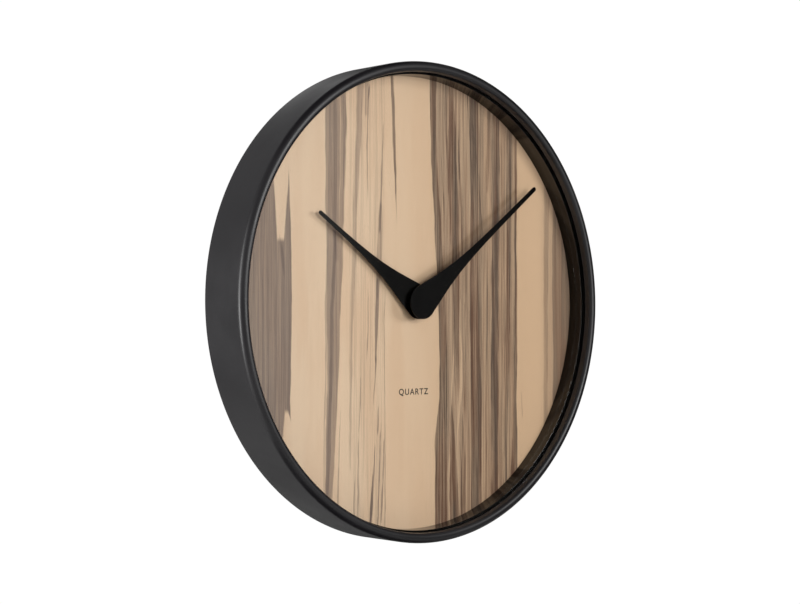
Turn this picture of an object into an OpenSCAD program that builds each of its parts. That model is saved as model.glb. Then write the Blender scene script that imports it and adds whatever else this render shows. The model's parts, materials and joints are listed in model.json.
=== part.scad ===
// Round wall clock: a deep black drum with a rolled front bead, flat glass, a veneered
// dial, two tapered hands and a battery quartz movement behind the dial board.
// The origin is on the hand axis in the wall plane. +Z is up and the dial faces -Y.

/* [Case] */
// Outer diameter of the drum and the bezel
case_d = 400; // [396:1:420]
// Depth from the wall to the front of the bezel
case_depth = 48; // [47.5:0.5:56]
// Thickness of the moulded drum wall
case_wall = 2.5; // [2:0.1:3]
// Width of the flat rim that rests on the wall
back_rim_w = 14; // [12:0.5:16]

/* [Bezel and glass] */
// Radius of the bead's outer rounding
bead_outer_r = 5.1; // [4.5:0.1:5.5]
// Radius of the bead's inner rounding
bead_inner_r = 3.4; // [3:0.1:3.8]
// Depth of the glass below the front of the bead
glass_drop = 7.5; // [7:0.1:8.5]
// Thickness of the glass
glass_t = 3; // [2:0.5:3]
// Depth of the dial below the front of the bead
dial_drop = 25.5; // [25.2:0.1:26]
// Thickness of the inner ring between the dial and the glass
rehaut_t = 1.4; // [1.2:0.1:1.6]

/* [Dial] */
// Thickness of the veneer sheet
veneer_t = 0.6; // [0.5:0.1:0.8]
// Thickness of the dial board
board_t = 4; // [3.5:0.1:4.2]

/* [Hands] */
// Length of the minute hand from the axis to its tip
minute_len = 171; // [150:1:176]
// Length of the hour hand from the axis to its tip
hour_len = 129; // [100:1:140]
// Radius of the round boss at the root of both hands
hand_boss_r = 14.3; // [12:0.1:15]
// Thickness of the hands
hand_t = 1; // [0.6:0.1:1.2]
// Clockwise angle of the minute hand from twelve at rest
minute_rest = 52.7; // [40:0.1:65]
// Clockwise angle of the hour hand from twelve at rest
hour_rest = 303.6; // [290:0.1:315]

/* [Hanging] */
// Height of the keyhole's round hole above the axis
hanger_h = 146; // [130:1:150]
// Radius of the keyhole's round hole
key_head_r = 4.5; // [4.2:0.1:5]
// Width of the keyhole's slot
key_slot_w = 4.4; // [4:0.1:4.8]
// Thickness of the steel hanger plate
hanger_t = 1.2; // [1:0.1:1.2]

/* [Movement] */
// Side of the square movement housing
movement_w = 56; // [56:0.5:58]
// Radius of an AA cell
cell_r = 7.25; // [7:0.05:7.25]
// Length of an AA cell with its positive nub
cell_len = 50.5; // [49.5:0.1:50.5]

/* [Hidden] */
$fn = 96;

// ---- Case stack, as heights in front of the wall ----
case_r = case_d / 2;
drum_in_r = case_r - case_wall;
seam_h = case_depth - bead_outer_r;
bead_top_r = case_r - bead_outer_r;
bead_in_r = bead_top_r - bead_inner_r;
gasket_t = 0.5;
glass_front = case_depth - glass_drop;
glass_back = glass_front - glass_t;
lip_h = glass_front + gasket_t;
skirt_t = 1.3;
skirt_len = 7;
glass_r = drum_in_r - skirt_t - 0.2;
dial_front = case_depth - dial_drop;
board_front = dial_front - veneer_t;
board_back = board_front - board_t;
rehaut_r = bead_in_r - 1.5;
rehaut_flange_t = 1.2;
dial_r = drum_in_r - 1.7;
shelf_t = 2.5;
shelf_in_r = case_r - 24;
rim_in_r = case_r - back_rim_w;
rim_t = 2;
rim_chamfer = 0.6;
// ---- Back cover and the screws around it ----
cover_t = 3;
cover_r = rim_in_r - 0.5;
cover_back = rim_t;
cover_front = cover_back + cover_t;
screw_count = 6;
screw_ring_r = case_r - 19;
boss_r = 4.5;
pan_h = 1.4;
pan_r = 2.8;
cover_shank_r = 1.1;
dial_shank_r = 1.4;
finger_gap = 12;
window_w = movement_w + 2 * finger_gap;
batten_w = 8;
batten_t = 5;
mitre_gap = 0.1;
pocket_w = 24;
pocket_h = 34;
pocket_mid = hanger_h + 4;
// ---- Hanger plate ----
hanger_w = 46;
hanger_l = 44;
hanger_back = rim_t - hanger_t;
key_slot_top = hanger_h + 11;
hanger_screw_x = 17.5;
hanger_screw_z = 17;
hanger_head_r = 2.4;
// ---- Movement housing ----
movement_t = 16;
mb = board_back - movement_t;
half_w = movement_w / 2;
cover_wall = 1.2;
base_in = mb + 13;
bay_w = 2 * cell_r + 0.6;
bay_low = -half_w + cover_wall;
bay_high = bay_low + bay_w;
bay_floor = board_back - 0.9;
divider_t = 1;
cell_y = (bay_low + bay_high) / 2;
cell_z = mb + 0.3 + cell_r;
nub_r = 2.75;
nub_len = 1.5;
cell_tip_x = half_w - cover_wall - 0.6;
// ---- Wheel train: axis places, looking at the dial ----
// Modules of the meshes, from the hands back to the rotor
m_motion = 0.4;
m_centre = 0.25;
m_third = 17 / 72;
m_seconds = 0.2;
m_rotor = 0.18;
backlash = 0.05;
third_at = 8.5 * [cos(170), sin(170)];
inter_at = 7 * [cos(60), sin(60)];
rotor_at = inter_at + 6.48 * [cos(100), sin(100)];
reverse_at = 8 * [cos(-20), sin(-20)];
knob_at = reverse_at + 8.4 * [cos(-10), sin(-10)];
centre_at = [0, 0];
pillars = [[-18.5, 8], [10.5, 16], [-3, -9.1]];
pillar_foot_r = 1.3;
pillar_mid_r = 1;
pillar_end_r = 0.7;
plate_gap = 0.02;
// Heights of the train above the back of the movement: [start, thickness]
z_bridge = [mb + 1.7, 1];
z_rotor_pinion = [mb + 3, 1.4];
z_inter_wheel = [mb + 3.4, 0.6];
z_inter_pinion = [mb + 4.5, 1.2];
z_seconds_wheel = [mb + 4.8, 0.6];
z_seconds_pinion = [mb + 5.7, 1.2];
z_magnet = [mb + 4.9, 1.9];
z_stator = [mb + 5.9, 0.8];
z_third_wheel = [mb + 6, 0.6];
z_mid_plate = [mb + 7.1, 0.8];
z_third_pinion = [mb + 8.2, 1.5];
z_centre_wheel = [mb + 8.6, 0.7];
z_cannon = [mb + 10, 1.4];
z_reverse_wheel = [mb + 10.3, 0.7];
z_reverse_pinion = [mb + 11.3, 1.4];
z_hour_wheel = [mb + 11.7, 0.8];
// ---- Arbors and bores ----
pin_r = 0.5;
fine_pin_r = 0.4;
run_gap = 0.05;
minute_in_r = 0.6;
minute_out_r = 1.4;
pipe_in_r = minute_out_r + run_gap;
pipe_out_r = 2.5;
bush_in_r = pipe_out_r + run_gap;
bush_out_r = 4;
bush_flange_r = 5;
nut_t = 2;
nut_r = 6.9;
washer_t = 0.5;
washer_r = 8;
reverse_pin_r = 0.6;
magnet_r = 2.6;
stator_hole_r = 3.2;
stator_ring_r = 4.8;
coil_y = 21.9;
winding_r = 4.1;
bobbin_r = 2.3;
bobbin_left = -9.5;
bobbin_len = 23.1;
bobbin_flange_t = 0.9;
core_left = -14.5;
core_len = 33;
core_w = 3.2;
core_t = 0.8;
core_hole_r = 0.9;
core_holes = [[-12.5, coil_y], [16.5, coil_y]];
knob_r = 4.5;
knob_shaft_r = 1.5;
knob_pin_r = 0.8;
knob_back = 0.2;
// ---- Hands ----
hour_hand_back = dial_front + 3;
hour_hand_front = hour_hand_back + hand_t;
minute_hand_back = dial_front + 8;
collet_t = 1.7;
minute_collet_r = 4;
hour_collet_r = 4.5;
// Half width at the tip, taper, swell at the root, reach of the swell and its steepness
minute_shape = [1.9, 0.006, 11.2, 39.5, 1.35];
hour_shape = [1.5, 0.005, 11.9, 40.8, 1.5];
blade_start = 5;
blade_steps = 22;
// ---- Circuit board ----
pcb_low = [13.5, -0.5];
pcb_size = [12.2, 13.5];
pcb_back = mb + 3.5;
pcb_t = 1;
pcb_holes = [[23.4, 1.6], [15.6, 11.4]];
pcb_hole_r = 0.6;
pcb_posts = [pcb_low + [1.6, 1.6], pcb_low + [10, 11.8]];
crystal_at = [16.4, 3.4];
crystal_r = 1.05;
chip_at = [21.3, 7];
// ---- Battery contacts ----
contact_w = 8;
contact_z = mb + 4;
tail_w = 2;
tail_z = mb + 4.5;
// ---- Colours ----
c_case = [0.10, 0.10, 0.11];
c_rehaut = [0.03, 0.03, 0.03];
c_hand = [0.02, 0.02, 0.02];
c_board = [0.55, 0.42, 0.30];
c_veneer = [0.80, 0.68, 0.55];
c_plastic = [0.13, 0.13, 0.14];
c_white = [0.90, 0.90, 0.86];
c_brass = [0.78, 0.62, 0.32];
c_steel = [0.62, 0.63, 0.65];
c_copper = [0.72, 0.38, 0.20];
c_green = [0.10, 0.35, 0.18];

// ---- Shared shapes ----

// Turns a shape drawn flat, with its height towards the viewer, to stand in the clock
module face_front() {
  rotate([90, 0, 0]) children();
}

// A flat ring or disc between two heights
module ring(outer_r, inner_r, low, high, sides = 96) {
  translate([0, 0, low])
    difference() {
      cylinder(r = outer_r, h = high - low, $fn = sides);
      if (inner_r > 0)
        translate([0, 0, -1]) cylinder(r = inner_r, h = high - low + 2, $fn = sides);
    }
}

// A round bar between two heights, for pins and for drillings
module bar(at, r, low, high, sides = 48) {
  translate([at[0], at[1], low]) cylinder(r = r, h = high - low, $fn = sides);
}

module rounded_square(w, h, r) {
  square([w - 2 * r, h], center = true);
  square([w, h - 2 * r], center = true);
  for (sx = [-1, 1], sy = [-1, 1])
    translate([sx * (w / 2 - r), sy * (h / 2 - r)]) circle(r = r, $fn = 32);
}

module slab(low, thickness) {
  translate([0, 0, low]) linear_extrude(thickness) children();
}

// Places the children on a ring of equal angles
module around(count, r, start = 0) {
  for (i = [0:count - 1]) {
    a = start + i * 360 / count;
    translate([r * cos(a), r * sin(a), 0]) rotate(a) children();
  }
}

// ---- Gears ----
pressure = 20;

function involute(a) = tan(a) * 180 / PI - a;

// Half the angle that a tooth fills at radius r
function tooth_half(n, m, r) =
  let (base_r = m * n / 2 * cos(pressure), at_r = max(r, base_r))
  (PI * m / 2 - backlash) / (m * n) * 180 / PI
  + involute(pressure) - involute(acos(base_r / at_r));

// Outline of a gear whose first tooth points at the angle phase
function gear_points(n, m, tip, root, phase) =
  let (
    pitch_r = m * n / 2,
    rs = [pitch_r - root, pitch_r - root / 4, pitch_r + tip / 2, pitch_r + tip]
  )
  [for (i = [0:n - 1])
    let (mid = phase + i * 360 / n)
    each concat(
      [for (k = [0:3]) let (a = mid - tooth_half(n, m, rs[k])) rs[k] * [cos(a), sin(a)]],
      [for (k = [3:-1:0]) let (a = mid + tooth_half(n, m, rs[k])) rs[k] * [cos(a), sin(a)]]
    )];

// Wheels have short teeth and pinions long ones, so that small pinions need no undercut
module wheel(n, m, phase) {
  polygon(gear_points(n, m, 0.5 * m, 1.25 * m, phase));
}

module pinion(n, m, phase) {
  polygon(gear_points(n, m, m, 0.75 * m, phase));
}

// Phase that puts gear b in mesh with gear a, seen from a at the angle theta
function mesh(theta, n_a, phase_a, n_b) = theta + 180 + (180 - (phase_a - theta) * n_a) / n_b;

// A wheel's disc with round windows between its rim and its hub
module windowed_wheel(n, m, phase, windows, window_r, window_at) {
  difference() {
    wheel(n, m, phase);
    around(windows, window_at) circle(r = window_r, $fn = 12);
  }
}

// Twelve-sided hole or hub on a wheel's axis
module flat_disc(r) {
  circle(r = r / cos(15), $fn = 12);
}

centre_phase = 0;
third_phase = mesh(170, 60, centre_phase, 8);
third_wheel_phase = third_phase;
seconds_phase = mesh(350, 64, third_wheel_phase, 8);
seconds_wheel_phase = seconds_phase;
inter_phase = mesh(60, 60, seconds_wheel_phase, 10);
inter_wheel_phase = inter_phase;
rotor_phase = mesh(100, 60, inter_wheel_phase, 12);
cannon_phase = 0;
reverse_wheel_phase = mesh(-20, 10, cannon_phase, 30);
reverse_pinion_phase = reverse_wheel_phase;
hour_phase = mesh(160, 8, reverse_pinion_phase, 32);
knob_phase = mesh(-10, 30, reverse_wheel_phase, 12);

// ---- Case ----

// Moulded drum with the wall rim, the shelf under the dial board and the screw bosses
module case_drum() {
  color(c_case) face_front() difference() {
    union() {
      rotate_extrude($fn = 180) polygon([
        [rim_in_r, 0], [case_r - rim_chamfer, 0], [case_r, rim_chamfer], [case_r, seam_h],
        [drum_in_r, seam_h], [drum_in_r, board_back], [shelf_in_r, board_back],
        [shelf_in_r, board_back - shelf_t], [drum_in_r, board_back - shelf_t],
        [drum_in_r, rim_t], [rim_in_r, rim_t]
      ]);
      around(screw_count, screw_ring_r, 30)
        translate([0, 0, cover_front])
          cylinder(r = boss_r, h = board_back - shelf_t - cover_front + 0.5, $fn = 32);
    }
    around(screw_count, screw_ring_r, 30)
      translate([0, 0, cover_front - 1]) cylinder(r = cover_shank_r, h = 9, $fn = 24);
    around(screw_count, screw_ring_r, 0)
      translate([0, 0, board_back - shelf_t - 1])
        cylinder(r = dial_shank_r + 0.1, h = shelf_t + 2, $fn = 24);
  }
}

function arc(cx, cz, r, from, to, steps) =
  [for (i = [0:steps]) let (a = from + (to - from) * i / steps) [cx + r * cos(a), cz + r * sin(a)]];

// Front ring with the rolled bead, the lip over the glass and a skirt inside the drum
module bezel_ring() {
  color(c_case) face_front() rotate_extrude($fn = 180) polygon(concat(
    arc(bead_top_r, case_depth - bead_outer_r, bead_outer_r, 0, 90, 8),
    arc(bead_top_r, case_depth - bead_inner_r, bead_inner_r, 98, 180, 6),
    [
      [bead_in_r, lip_h], [glass_r + 0.2, lip_h], [glass_r + 0.2, seam_h - skirt_len],
      [drum_in_r, seam_h - skirt_len], [drum_in_r, seam_h]
    ]
  ));
}

module lens_gasket() {
  color(c_rehaut) face_front() ring(glass_r, bead_in_r, glass_front, lip_h, 180);
}

module lens_glass() {
  color([0.85, 0.92, 0.95], 0.3) face_front() ring(glass_r, 0, glass_back, glass_front, 180);
}

// Glossy inner wall that spaces the glass from the dial
module rehaut_ring() {
  color(c_rehaut) face_front() rotate_extrude($fn = 180) polygon([
    [rehaut_r, dial_front], [glass_r - 1, dial_front], [glass_r - 1, dial_front + rehaut_flange_t],
    [rehaut_r + rehaut_t, dial_front + rehaut_flange_t],
    [rehaut_r + rehaut_t, glass_back - rehaut_flange_t], [glass_r, glass_back - rehaut_flange_t],
    [glass_r, glass_back], [rehaut_r, glass_back]
  ]);
}

// ---- Dial ----
module dial_veneer() {
  color(c_veneer) face_front() ring(dial_r, bush_out_r + 0.25, board_front, dial_front, 180);
}

module dial_board() {
  color(c_board) face_front() difference() {
    ring(dial_r, bush_out_r + 0.25, board_back, board_front, 180);
    around(screw_count, screw_ring_r)
      translate([0, 0, board_back - 1]) cylinder(r = dial_shank_r, h = 1 + 3.2, $fn = 24);
  }
}

// Pan-head screw that points towards the viewer from the height of its head's underside
module pan_screw(shank_r, shank_len) {
  difference() {
    translate([0, 0, -pan_h]) cylinder(r1 = pan_r - 0.5, r2 = pan_r, h = pan_h, $fn = 32);
    for (a = [0, 90])
      rotate(a) translate([-1.5, -0.3, -pan_h - 0.5]) cube([3, 0.6, 1.1]);
  }
  cylinder(r = shank_r, h = shank_len, $fn = 24);
}

// Six screws from the shelf into the dial board
module dial_screws() {
  color(c_steel) face_front() around(screw_count, screw_ring_r)
    translate([0, 0, board_back - shelf_t]) pan_screw(dial_shank_r, shelf_t + 3);
}

// ---- Back ----
module keyhole(low, high) {
  translate([0, 0, low]) {
    translate([0, hanger_h, 0]) cylinder(r = key_head_r, h = high - low, $fn = 64);
    translate([-key_slot_w / 2, hanger_h, 0]) cube([key_slot_w, key_slot_top - hanger_h, high - low]);
    translate([0, key_slot_top, 0]) cylinder(r = key_slot_w / 2, h = high - low, $fn = 48);
  }
}

module hanger_holes(r, low, high) {
  for (sx = [-1, 1], sz = [-1, 1])
    bar([sx * hanger_screw_x, pocket_mid + sz * hanger_screw_z], r, low, high, 24);
}

// Fibreboard disc with a window for the movement and its battens, and a keyhole pocket
module back_cover() {
  color(c_board) face_front() difference() {
    slab(cover_back, cover_t) difference() {
      circle(r = cover_r, $fn = 180);
      square(window_w + 2 * batten_w, center = true);
      translate([0, pocket_mid]) rounded_square(pocket_w, pocket_h, 8);
    }
    around(screw_count, screw_ring_r, 30)
      translate([0, 0, cover_back - 1]) cylinder(r = cover_shank_r + 0.15, h = cover_t + 2, $fn = 24);
    hanger_holes(cover_shank_r, cover_back - 1, cover_front + 1);
  }
}

// Four mitred battens glued to the cut edges of the window, with finger room inside them
module window_battens() {
  inner = window_w / 2;
  outer = inner + batten_w;
  color(c_board) face_front() slab(cover_back, batten_t)
    for (turn = [0:90:270])
      rotate(turn) polygon([
        [inner, -inner + mitre_gap], [outer, -outer + mitre_gap],
        [outer, outer - mitre_gap], [inner, inner - mitre_gap]
      ]);
}

module back_cover_screws() {
  color(c_steel) face_front() around(screw_count, screw_ring_r, 30)
    translate([0, 0, cover_back]) pan_screw(cover_shank_r, cover_t + 7);
}

// Steel plate with the keyhole that hangs on a nail or a screw head
module hanger_plate() {
  color(c_steel) face_front() difference() {
    slab(hanger_back, hanger_t)
      translate([0, pocket_mid]) rounded_square(hanger_w, hanger_l, 4);
    keyhole(hanger_back - 1, cover_back + 1);
    for (sx = [-1, 1], sz = [-1, 1])
      translate([sx * hanger_screw_x, pocket_mid + sz * hanger_screw_z, hanger_back])
        cylinder(r1 = hanger_head_r, r2 = hanger_head_r - hanger_t, h = hanger_t, $fn = 32);
  }
}

// Four countersunk screws, flush with the back of the plate
module hanger_screws() {
  color(c_steel) face_front()
    for (sx = [-1, 1], sz = [-1, 1])
      translate([sx * hanger_screw_x, pocket_mid + sz * hanger_screw_z, hanger_back])
        difference() {
          union() {
            cylinder(r1 = hanger_head_r, r2 = hanger_head_r - hanger_t, h = hanger_t, $fn = 32);
            cylinder(r = cover_shank_r, h = hanger_t + cover_t + 1, $fn = 24);
          }
          for (a = [0, 90])
            rotate(a) translate([-1.3, -0.25, -0.5]) cube([2.6, 0.5, 1]);
        }
}

// ---- Movement housing ----

// Front half of the housing: plate, battery bay floor and the stepped pillars of the train
module movement_base() {
  color(c_plastic) face_front() difference() {
    union() {
      slab(base_in, board_back - base_in) rounded_square(movement_w, movement_w, 2.5);
      for (p = pillars) {
        bar(p, pillar_foot_r, z_mid_plate[0] + z_mid_plate[1], base_in + 0.5);
        bar(p, pillar_mid_r, z_bridge[0] + z_bridge[1], z_mid_plate[0] + z_mid_plate[1] + 0.5);
        bar(p, pillar_end_r, z_bridge[0] - 0.2, z_bridge[0] + z_bridge[1] + 0.5);
      }
    }
    translate([bay_low, bay_low, base_in - 1])
      cube([-2 * bay_low, bay_w, bay_floor - base_in + 1]);
    bar(centre_at, bush_out_r, base_in - 1, board_back + 1);
    bar(centre_at, bush_flange_r, base_in - 1, base_in + 1.1);
    bar(third_at, pin_r + run_gap, base_in - 1, base_in + 1.2, 24);
    bar(reverse_at, reverse_pin_r + run_gap, base_in - 1, base_in + 2, 24);
    bar(knob_at, knob_pin_r + run_gap, base_in - 1, base_in + 1.2, 24);
  }
}

// Rear half of the housing: walls, back wall over the train and the open battery bay
module movement_cover() {
  color(c_plastic) face_front() difference() {
    union() {
      difference() {
        slab(mb, base_in - mb) rounded_square(movement_w, movement_w, 2.5);
        slab(mb + cover_wall, base_in) rounded_square(-2 * bay_low, -2 * bay_low, 1.5);
        translate([bay_low, bay_low, mb - 1]) cube([-2 * bay_low, bay_w, base_in]);
      }
      translate([bay_low - 0.2, bay_high, mb])
        cube([-2 * bay_low + 0.4, divider_t, base_in - mb]);
      for (p = pcb_posts) bar(p, 1.3, mb + cover_wall - 0.2, pcb_back);
      bar(knob_at, 2.6, mb + cover_wall - 0.2, mb + 2.6);
    }
    bar(knob_at, knob_shaft_r + 0.08, mb - 1, mb + 4);
    // Finger notch in the outer wall of the battery bay
    translate([0, -half_w, mb - 0.01]) rotate([90, 0, 0]) cylinder(r = 8, h = 4, center = true);
    // Slots for the tails of the two contacts
    for (sx = [-1, 1])
      translate([sx * (-bay_low - 0.5) - 0.5, bay_high - 1, mb + 4.2]) cube([1, 3, 2.6]);
  }
}

// Outline of the two thin plates that carry the pivots
module plate_outline() {
  polygon([
    [-20.5, 5.5], [-20.5, 10.5], [-17.5, 12.5], [-4, 17.3], [12.6, 17.3],
    [12.6, 13.5], [9, 9], [6.5, 2], [6.5, -4], [0, -10.5], [-6, -10.5], [-14, -4]
  ]);
}

module mid_plate() {
  color(c_white) face_front() difference() {
    slab(z_mid_plate[0], z_mid_plate[1]) plate_outline();
    for (p = pillars) bar(p, pillar_mid_r + plate_gap, mb, base_in, 24);
    for (p = [inter_at, rotor_at]) bar(p, fine_pin_r + run_gap, mb, base_in, 24);
    bar(third_at, 1.4, mb, base_in, 24);
    bar(centre_at, 1, mb, base_in, 24);
  }
}

module train_bridge() {
  color(c_white) face_front() difference() {
    slab(z_bridge[0], z_bridge[1]) plate_outline();
    for (p = pillars) bar(p, pillar_end_r + plate_gap, mb, base_in, 24);
    for (p = [inter_at, rotor_at]) bar(p, fine_pin_r + run_gap, mb, base_in, 24);
    for (p = [third_at, centre_at]) bar(p, pin_r + run_gap, mb, base_in, 24);
  }
}

// Brass bush that clamps the movement to the dial board
module mounting_bush() {
  color(c_brass) face_front() difference() {
    union() {
      bar(centre_at, bush_out_r, base_in + 0.1, hour_hand_back - 0.2);
      bar(centre_at, bush_flange_r, base_in + 0.1, base_in + 1.1);
    }
    bar(centre_at, bush_in_r, base_in - 1, hour_hand_back + 1);
  }
}

module mounting_washer() {
  color(c_brass) face_front() ring(washer_r, bush_out_r + 0.1, dial_front, dial_front + washer_t, 64);
}

module mounting_nut() {
  color(c_brass) face_front() difference() {
    slab(dial_front + washer_t, nut_t) circle(r = nut_r, $fn = 6);
    bar(centre_at, bush_out_r, dial_front, dial_front + 4);
  }
}

// ---- Motor and electronics ----

// Stator with its ring round the rotor and two arms to the ends of the coil core
module stator_plate() {
  color(c_steel) face_front() difference() {
    slab(z_stator[0], z_stator[1]) {
      translate(rotor_at) circle(r = stator_ring_r, $fn = 64);
      polygon([
        [-14.5, 23.6], [-14.5, 13.4], [-11.5, 10.9], [rotor_at[0], rotor_at[1] - 2],
        [15.5, 10.4], [18.5, 13.4], [18.5, 23.6], [14.6, 23.6], [14.6, 14.2],
        [rotor_at[0], rotor_at[1] + 2], [-10.6, 14.2], [-10.6, 23.6]
      ]);
    }
    bar(rotor_at, stator_hole_r, mb, base_in);
    for (at = core_holes) bar(at, core_hole_r, mb, base_in, 24);
  }
}

// Flat core that passes through the coil and lies on both stator arms
module coil_core() {
  color(c_steel) face_front() difference() {
    translate([core_left, coil_y - core_w / 2, z_stator[0] + z_stator[1]])
      cube([core_len, core_w, core_t]);
    for (at = core_holes) bar(at, core_hole_r, mb, base_in, 24);
  }
}

module along_coil(x) {
  translate([x, coil_y, z_stator[0] + z_stator[1] + core_t / 2]) rotate([0, 90, 0]) children();
}

module coil_bobbin() {
  color(c_white) face_front() difference() {
    union() {
      for (x = [bobbin_left, bobbin_left + bobbin_len - bobbin_flange_t])
        along_coil(x) cylinder(r = winding_r, h = bobbin_flange_t, $fn = 48);
      along_coil(bobbin_left) cylinder(r = bobbin_r, h = bobbin_len, $fn = 48);
    }
    translate([core_left, coil_y - core_w / 2 - run_gap, z_stator[0] + z_stator[1] - run_gap])
      cube([core_len, core_w + 2 * run_gap, core_t + 2 * run_gap]);
  }
}

module coil_winding() {
  color(c_copper) face_front() difference() {
    along_coil(bobbin_left + bobbin_flange_t)
      cylinder(r = winding_r - 0.3, h = bobbin_len - 2 * bobbin_flange_t, $fn = 48);
    along_coil(bobbin_left) cylinder(r = bobbin_r, h = bobbin_len, $fn = 48);
  }
}

module circuit_board() {
  color(c_green) face_front() difference() {
    translate([pcb_low[0], pcb_low[1], pcb_back]) cube([pcb_size[0], pcb_size[1], pcb_t]);
    for (p = pcb_holes) bar(p, pcb_hole_r, mb, base_in, 24);
  }
}

// Tubular crystal lying on the board with its two bent leads
module quartz_crystal() {
  color(c_steel) face_front()
    translate(concat(crystal_at, pcb_back + pcb_t + crystal_r)) rotate([-90, 0, 0]) {
      cylinder(r = crystal_r, h = 6, $fn = 32);
      for (x = [-0.4, 0.4]) translate([x, 0, -1.6]) cylinder(r = 0.15, h = 1.8, $fn = 16);
    }
}

// Drop of epoxy over the bare chip
module ic_blob() {
  color(c_rehaut) face_front() translate(concat(chip_at, pcb_back + pcb_t))
    rotate_extrude($fn = 48) intersection() {
      translate([0, -2.6]) circle(r = 3.8, $fn = 64);
      square([4, 2]);
    }
}

// Sprung strips at the two ends of the cell, with tails that reach the circuit board
module contact_positive() {
  color(c_steel) face_front() {
    translate([cell_tip_x, cell_y - contact_w / 2, contact_z]) cube([0.35, contact_w, 8]);
    translate([cell_tip_x, cell_y + 3, tail_z]) cube([0.35, -cell_y - 2.2, tail_w]);
    translate([cell_tip_x - 0.9, 0.3, tail_z]) cube([1.2, 0.5, 0.8]);
  }
}

module contact_negative() {
  x0 = bay_low + 0.1;
  tongue = cell_tip_x - cell_len - x0;
  color(c_steel) face_front() {
    translate([x0, cell_y - contact_w / 2, contact_z]) cube([0.3, contact_w, 8]);
    translate([x0, cell_y + 3, tail_z]) cube([0.3, bay_high - cell_y - 1.6, tail_w]);
    translate([x0, bay_high + divider_t + 0.05, tail_z])
      cube([-x0 + pcb_low[0] + 0.4, 0.3, tail_w]);
    translate([x0, bay_high - 0.5, tail_z]) cube([0.3, divider_t + 0.85, tail_w]);
    // Bowed tongue that presses on the flat end of the cell
    translate([0, 0, mb + 6]) linear_extrude(4) polygon([
      [x0, cell_y - 4], [x0 + tongue * 0.75, cell_y - 1.5], [x0 + tongue, cell_y],
      [x0 + tongue * 0.75, cell_y + 1.5], [x0 + tongue * 0.5, cell_y + 1.5],
      [x0 + tongue - 0.3, cell_y], [x0 + tongue * 0.5, cell_y - 1.5], [x0, cell_y - 3]
    ]);
    translate([pcb_low[0] - 0.6, bay_high + divider_t + 0.05, pcb_back + pcb_t])
      cube([1, -bay_high - divider_t + 0.6, 0.3]);
  }
}

module battery_cell() {
  color(c_brass) face_front() translate([cell_tip_x - cell_len, cell_y, cell_z]) rotate([0, 90, 0]) {
    cylinder(r = cell_r, h = cell_len - nub_len, $fn = 64);
    cylinder(r = nub_r, h = cell_len, $fn = 48);
  }
}

// ---- Hands ----

// Half width of a hand at the distance l from its axis: a parallel blade that swells
// smoothly into the boss
function hand_half(l, length, shape) =
  shape[0] + shape[1] * (length - l) + shape[2] * exp(-pow(l / shape[3], shape[4]));

function hand_side(length, shape) =
  let (blade = length - shape[0] - blade_start)
  [for (i = [0:blade_steps]) let (l = blade_start + blade * pow(i / blade_steps, 1.3))
    [hand_half(l, length, shape), l]];

module hand(length, shape) {
  tip_half = shape[0];
  side = hand_side(length, shape);
  circle(r = hand_boss_r);
  translate([0, length - tip_half]) circle(r = tip_half, $fn = 32);
  polygon(concat(
    [[0, 0]],
    side,
    [for (i = [blade_steps:-1:0]) [-side[i][0], side[i][1]]]
  ));
}

module minute_hand() {
  color(c_hand) face_front() rotate(-minute_rest) slab(minute_hand_back, hand_t)
    hand(minute_len, minute_shape);
}

module hour_hand() {
  color(c_hand) face_front() difference() {
    rotate(-hour_rest) slab(hour_hand_back, hand_t)
      hand(hour_len, hour_shape);
    bar(centre_at, pipe_out_r, 0, case_depth);
  }
}

// Collets that grip the arbors, fixed to the hands
module minute_collet() {
  color(c_brass) face_front()
    ring(minute_collet_r, minute_out_r, minute_hand_back - collet_t, minute_hand_back, 48);
}

module hour_collet() {
  color(c_brass) face_front()
    ring(hour_collet_r, pipe_out_r, hour_hand_front, hour_hand_front + collet_t, 48);
}

// ---- Arbors and wheels of the hands ----
module minute_arbor() {
  color(c_steel) face_front()
    ring(minute_out_r, minute_in_r, z_mid_plate[0] + z_mid_plate[1] + 0.2, minute_hand_back - 0.2, 48);
}

module cannon_pinion() {
  color(c_brass) face_front() slab(z_cannon[0], z_cannon[1]) difference() {
    pinion(10, m_motion, cannon_phase);
    flat_disc(minute_out_r);
  }
}

// Sixty teeth, with four windows, held on the arbor by friction
module centre_wheel() {
  color(c_brass) face_front() slab(z_centre_wheel[0], z_centre_wheel[1]) difference() {
    windowed_wheel(60, m_centre, centre_phase, 4, 1.6, 4.4);
    flat_disc(minute_out_r);
  }
}

module hour_pipe() {
  color(c_brass) face_front()
    ring(pipe_out_r, pipe_in_r, z_hour_wheel[0], hour_hand_front + collet_t, 48);
}

module hour_wheel() {
  color(c_white) face_front() slab(z_hour_wheel[0], z_hour_wheel[1]) difference() {
    wheel(32, m_motion, hour_phase);
    flat_disc(pipe_out_r);
  }
}

// A wheel and its pinion moulded in one, on the arbor hole at the axis "at"
module compound(at, hole_r, hub_r, wheel_z, pinion_z) {
  low = min(wheel_z[0], pinion_z[0]);
  high = max(wheel_z[0] + wheel_z[1], pinion_z[0] + pinion_z[1]);
  translate([at[0], at[1], 0]) difference() {
    union() {
      slab(wheel_z[0], wheel_z[1]) children(0);
      slab(pinion_z[0], pinion_z[1]) children(1);
      slab(low, high - low) flat_disc(hub_r);
    }
    slab(low - 1, high - low + 2) flat_disc(hole_r);
  }
}

module reversing_wheel() {
  color(c_white) face_front() compound(reverse_at, reverse_pin_r, 1.15, z_reverse_wheel, z_reverse_pinion) {
    windowed_wheel(30, m_motion, reverse_wheel_phase, 3, 1.2, 3.4);
    pinion(8, m_motion, reverse_pinion_phase);
  }
}

module reversing_arbor() {
  color(c_steel) face_front() bar(reverse_at, reverse_pin_r, z_reverse_wheel[0] - 0.2, base_in + 1.9);
}

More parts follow.
